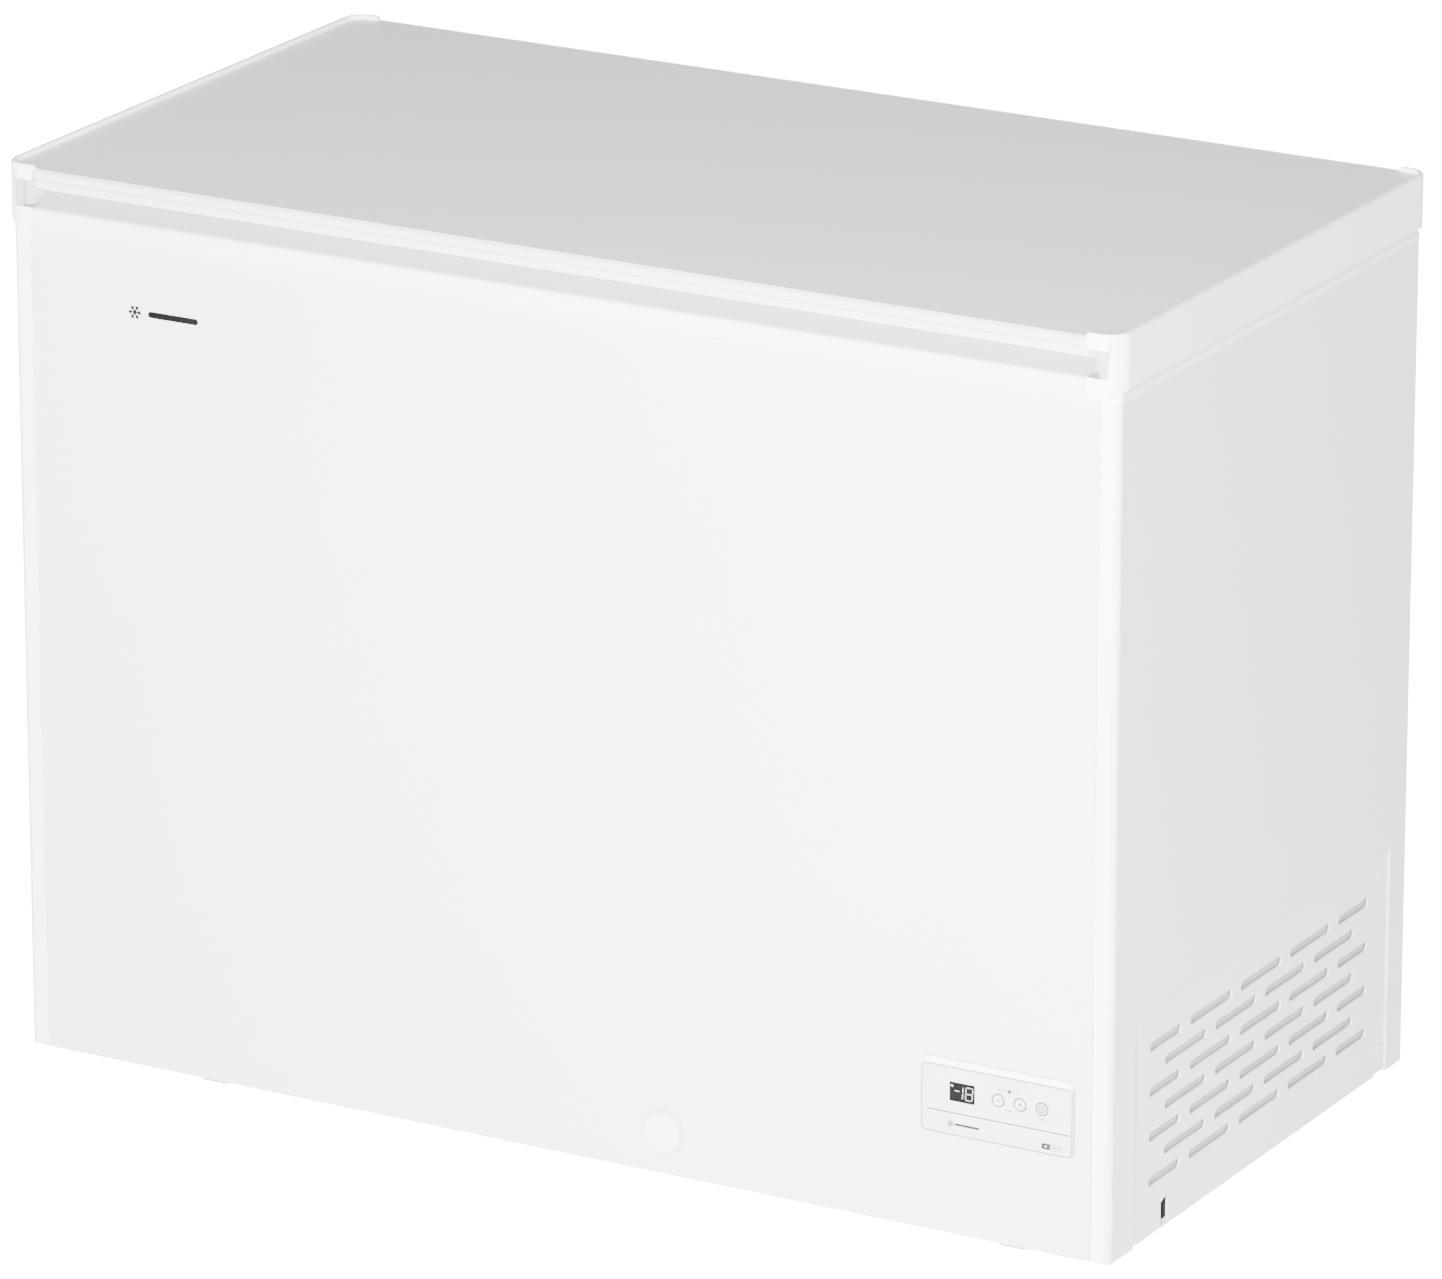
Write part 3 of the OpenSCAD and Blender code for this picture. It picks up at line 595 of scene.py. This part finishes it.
minus_x, plus_x, key_z = key_mid["minus"][0], key_mid["plus"][0], key_mid["minus"][1]
lock_x = (minus_x + plus_x) / 2
RAIL_Z = key_z + 10.2
THIN = 0.4


def bracket(x0, x1, drop):
    """An L of thin line: along at RAIL_Z from x1 to x0, and down at x0."""
    s = THIN if x1 > x0 else -THIN
    return [(x0, RAIL_Z), (x1, RAIL_Z), (x1, RAIL_Z - THIN), (x0 + s, RAIL_Z - THIN), (x0 + s, RAIL_Z - drop),
            (x0, RAIL_Z - drop)]


def half_ring(w, h, turns):
    """Half an ellipse over the padlock's body."""
    return [(lock_x + w * math.cos(t), RAIL_Z + 0.6 + h * math.sin(t)) for t in turns]


shackle = half_ring(1.1, 1.5, [math.pi * i / 10 for i in range(11)])
shackle += half_ring(0.65, 1.05, [math.pi * (1 - i / 10) for i in range(11)])
print_panel("lock_print", [bracket(minus_x, lock_x - 3, 2.4), bracket(plus_x, lock_x + 3, 2.4),
                           bar(lock_x, RAIL_Z - 0.8, 3.4, 2.6), shackle], "ink_light")
power_x = key_mid["power"][0]
print_panel("key_captions", [bar(lock_x, key_z - 7.6, 8, 0.7), bar(power_x, key_z - 9.0, 6.6, 0.7),
                             bar(power_x, key_z - 11.2, 4.6, 0.7)], "ink_light")

# ---- lit display: a minus sign, 1 and 8 from seven-segment bars, and a small frost mark
dis_lo, dis_hi = local("display_window")
dis_x = (dis_lo.x + dis_hi.x) / 2
dis_z = (dis_lo.z + dis_hi.z) / 2
SEG_W = 0.9
DIGIT_W = 6.3
DIGIT_H = 11.2
SLANT = 0.07
SEGMENTS = {"1": "bc", "8": "abcdefg"}


def segment(cx, cz, length, upright):
    """Outline of one pointed bar of a figure."""
    a, h = length / 2, SEG_W / 2
    pts = [(-a, 0), (-a + h, -h), (a - h, -h), (a, 0), (a - h, h), (-a + h, h)]
    return [(cx + v, cz + u) if upright else (cx + u, cz + v) for u, v in pts]


def digit(ch, cx, cz):
    """Outlines of a slanted seven-segment figure."""
    w, q, gap = DIGIT_W / 2, DIGIT_H / 4, 0.25
    flat, tall = DIGIT_W - 2 * gap, DIGIT_H / 2 - 2 * gap
    where = {"a": (0, 2 * q, flat, False), "g": (0, 0, flat, False), "d": (0, -2 * q, flat, False),
             "f": (-w, q, tall, True), "b": (w, q, tall, True),
             "e": (-w, -q, tall, True), "c": (w, -q, tall, True)}
    out = []
    for name in SEGMENTS[ch]:
        x, z, length, upright = where[name]
        out.append([(cx + px + SLANT * pz, cz + pz) for px, pz in segment(x, z, length, upright)])
    return out


lit = digit("1", dis_x - 2.4, dis_z) + digit("8", dis_x + 6.7, dis_z)
lit += [segment(dis_x - 4.85, dis_z + 1.2, 4.9, False), flake(dis_x - 9.4, dis_z + 5.3, 1.35, 0.35)]
print_on("display_figures", lit, -dis_lo.y, "digit", "cabinet", slot="white_plastic", depth=0.04)
unit_x = dis_hi.x + 4.2
print_panel("degree_print", [circle(unit_x, dis_z - 2, 0.8, 20), circle(unit_x, dis_z - 2, 0.45, 20)],
            "ink_light")

# ---------------------------------------------------------------- lid gasket: bulbs and bellows
gas_lo, gas_hi = local("lid_gasket")
gas_w, gas_d = gas_hi.x - gas_lo.x, gas_hi.y - gas_lo.y
# How far in from the gasket's outside, and how high, each ring of its skin runs.
section = [(0, 3.0), (0, 1.8), (1.2, 0.6), (3.4, 0.06), (5.6, 0.5), (6.8, 1.7), (7.6, 2.2), (8.6, 1.7),
           (9.8, 0.5), (12.4, 0.06), (14.8, 0.5), (16.2, 1.7), (17.2, 2.1), (19.5, 1.9), (22, 2.2), (22, 3.0)]
rings("lid_gasket_shape", [rr3(gas_w - 2 * off, gas_d - 2 * off, 10 - off / 11, gas_lo.z + h)
                           for off, h in section], "rubber", "lid", "gasket_rubber", replaces=("lid_gasket",))

# ---------------------------------------------------------------- storage basket of coated wire
bas_lo, bas_hi = local("storage_basket")
HOOK_REACH = 16
ARM_H = 10
RIM_R = 2.3
ROD_R = 1.4
IN = 2 * ROD_R
BOW = 12  # radius of the rods' bends
END = 16  # from a wall to the first rod
bx0, bx1 = bas_lo.x + RIM_R, bas_hi.x - RIM_R
by0, by1 = bas_lo.y + HOOK_REACH + RIM_R, bas_hi.y - HOOK_REACH - RIM_R
bz0, bz1 = bas_lo.z + ROD_R, bas_hi.z - ARM_H - RIM_R


def hoop(z, r):
    """A rod of radius r right round the basket at height z."""
    return bend([(bx1, by1, z), (bx0, by1, z), (bx0, by0, z), (bx1, by0, z)], 14, True), r, True


def spread(lo, hi, n):
    """Places of n rods between two of the basket's walls."""
    return [lo + END + (hi - lo - 2 * END) * i / (n - 1) for i in range(n)]


runs = [hoop(bz1, RIM_R)] + [hoop(bz0 + (bz1 - bz0) * k / 4, ROD_R) for k in (1, 2, 3)]
for y in spread(by0, by1, 20):
    path = [(bx0 + IN, y, bz1), (bx0 + IN, y, bz0), (bx1 - IN, y, bz0), (bx1 - IN, y, bz1)]
    runs.append((bend(path, BOW), ROD_R, False))
for x in spread(bx0, bx1, 12):
    path = [(x, by0 + IN, bz1), (x, by0 + IN, bz0 + IN), (x, by1 - IN, bz0 + IN), (x, by1 - IN, bz1)]
    runs.append((bend(path, BOW), ROD_R, False))
ARM_R = 1.9
ARM_X = 90
ARM_DROP = 34
arm_z = bas_hi.z - ARM_R
for x in (-ARM_X, ARM_X):
    for wall, tip in ((by0 - 0.2, bas_lo.y + 0.6), (by1 + 0.2, bas_hi.y - 0.6)):
        arm_x = (bx0 + bx1) / 2 + x
        path = [(arm_x, wall, bz1 - ARM_DROP), (arm_x, wall, arm_z), (arm_x, tip, arm_z)]
        runs.append((bend(path, 4), ARM_R, False))
wires("storage_basket_wires", runs, "wire", "basket", "basket_wire", replaces=("storage_basket",))


# ---------------------------------------------------------------- stage, light and camera
SEEN = 20.0  # how bright the floor and the sky look to the camera
GLOW = 1.3   # how much the floor lights the freezer
SKY = 0.62   # how much the sky lights it


def seen_or_lit(nt, seen, lit):
    """A strength that is seen by the camera and another that lights the object."""
    path = nt.nodes.new("ShaderNodeLightPath")
    mix = nt.nodes.new("ShaderNodeMapRange")
    mix.inputs["To Min"].default_value = lit
    mix.inputs["To Max"].default_value = seen
    nt.links.new(path.outputs["Is Camera Ray"], mix.inputs["Value"])
    return mix.outputs["Result"]


def floor():
    """The white ground, which belongs to the stage."""
    bm = bmesh.new()
    bmesh.ops.create_grid(bm, x_segments=2, y_segments=2, size=14)
    me = bpy.data.meshes.new("floor")
    bm.to_mesh(me)
    bm.free()
    o = bpy.data.objects.new("floor", me)
    bpy.context.scene.collection.objects.link(o)
    m, nt, b = new_mat("floor_paper")
    tc = nt.nodes.new("ShaderNodeTexCoord").outputs["Object"]
    nt.links.new(ramp(nt, noise(nt, tc, 2, 2), [(0.3, (0.80, 0.80, 0.80)), (0.7, (0.81, 0.81, 0.81))]),
                 b.inputs["Base Color"])
    b.inputs["Roughness"].default_value = 0.8
    b.inputs["Emission Color"].default_value = (1, 1, 1, 1)
    nt.links.new(seen_or_lit(nt, SEEN, GLOW), b.inputs["Emission Strength"])
    me.materials.append(m)


def area(name, loc, target, size, power):
    """A rectangular lamp of so many metres and watts at loc, turned to target."""
    d = bpy.data.lights.new(name, "AREA")
    d.shape = "RECTANGLE"
    d.size, d.size_y = size
    d.energy = power
    o = bpy.data.objects.new(name, d)
    o.location = loc
    o.rotation_euler = (Vector(target) - Vector(loc)).to_track_quat("-Z", "Y").to_euler()
    bpy.context.scene.collection.objects.link(o)


floor()
world = bpy.data.worlds.new("studio")
bpy.context.scene.world = world
world.use_nodes = True
sky = world.node_tree.nodes["Background"]
sky.inputs["Color"].default_value = (1, 1, 1, 1)
world.node_tree.links.new(seen_or_lit(world.node_tree, SEEN, SKY), sky.inputs["Strength"])
area("key", (0.85, -2.5, 1.32), (0.1, 0, 0.45), (1.6, 1.0), 530)
area("fill", (6.0, 0.4, 1.2), (0.5, 0, 0.5), (3.0, 2.0), 85)
area("top", (0.0, 0.6, 5.0), (0, 0, 0.8), (4.0, 4.0), 70)

# ---- the camera stands in front, to the right and above; its place is worked out from the cabinet's
cam = bpy.data.cameras.new("camera")
cam.sensor_width = 36
cam.lens = 246.6
cam.clip_end = 100
cam_o = bpy.data.objects.new("camera", cam)
right = Vector((0.8701, 0.4929, 0)).normalized()
look = Vector((-0.4679, 0.8259, -0.3147)).normalized()
up = right.cross(look).normalized()
rot = Matrix((right, up, -look)).transposed()
cam_o.matrix_world = Matrix.Translation((3.9955, -7.0435 + CAB_Y, 3.0637 + FOOT)) @ rot.to_4x4()
bpy.context.scene.collection.objects.link(cam_o)
bpy.context.scene.camera = cam_o
